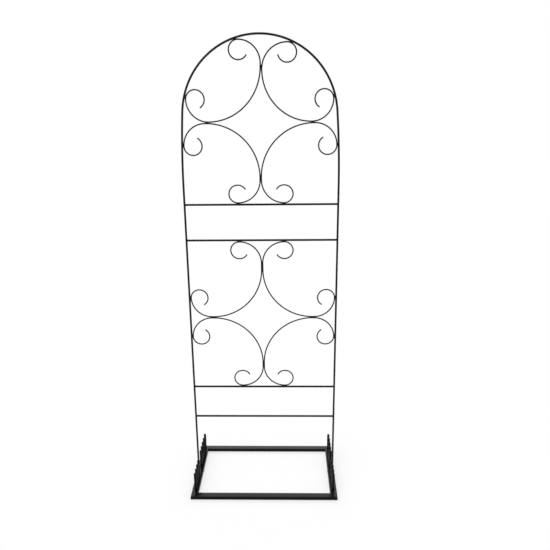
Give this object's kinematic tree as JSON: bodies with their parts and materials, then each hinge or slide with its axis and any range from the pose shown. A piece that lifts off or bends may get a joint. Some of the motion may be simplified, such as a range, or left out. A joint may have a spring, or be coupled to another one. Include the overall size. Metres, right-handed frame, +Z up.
{
  "type": "metal garden trellis",
  "caption": "Free-standing arched garden trellis: round-rod hoop with cross bars and C-scroll stars, screwed into a flat box-section base with rows of short pickets.",
  "frame": {"origin": "bottom centre of the base frame, on the surface it stands on", "axes": "+Z up along the legs, +X to the viewer's right across the width, -Y out of the front"},
  "size_m": [0.508, 0.31, 1.5142],
  "materials": {
    "rod": "satin black powder coat",
    "wire": "satin black powder coat",
    "rail": "satin black powder coat",
    "picket": "satin black powder coat",
    "screw": "zinc plate"
  },
  "bodies": {
    "root": {"hoop": "rod", "lower_pair_bottom_bar": "rod", "lower_pair_top_bar": "rod", "upper_pair_bottom_bar": "rod", "upper_pair_top_bar": "rod", "upper_star_top_left_scroll": "wire", "upper_star_top_right_scroll": "wire", "upper_star_bottom_left_scroll": "wire", "upper_star_bottom_right_scroll": "wire", "lower_star_top_left_scroll": "wire", "lower_star_top_right_scroll": "wire", "lower_star_bottom_left_scroll": "wire", "lower_star_bottom_right_scroll": "wire", "base_front_rail": "rail", "base_right_rail": "rail", "base_back_rail": "rail", "base_left_rail": "rail", "left_picket_01": "picket", "left_picket_02": "picket", "left_picket_03": "picket", "left_picket_04": "picket", "left_picket_05": "picket", "left_picket_06": "picket", "left_picket_07": "picket", "left_picket_08": "picket", "left_picket_09": "picket", "right_picket_01": "picket", "right_picket_02": "picket", "right_picket_03": "picket", "right_picket_04": "picket", "right_picket_05": "picket", "right_picket_06": "picket", "right_picket_07": "picket", "right_picket_08": "picket", "right_picket_09": "picket", "left_foot_screw": "screw", "right_foot_screw": "screw"}
  },
  "joints": []
}
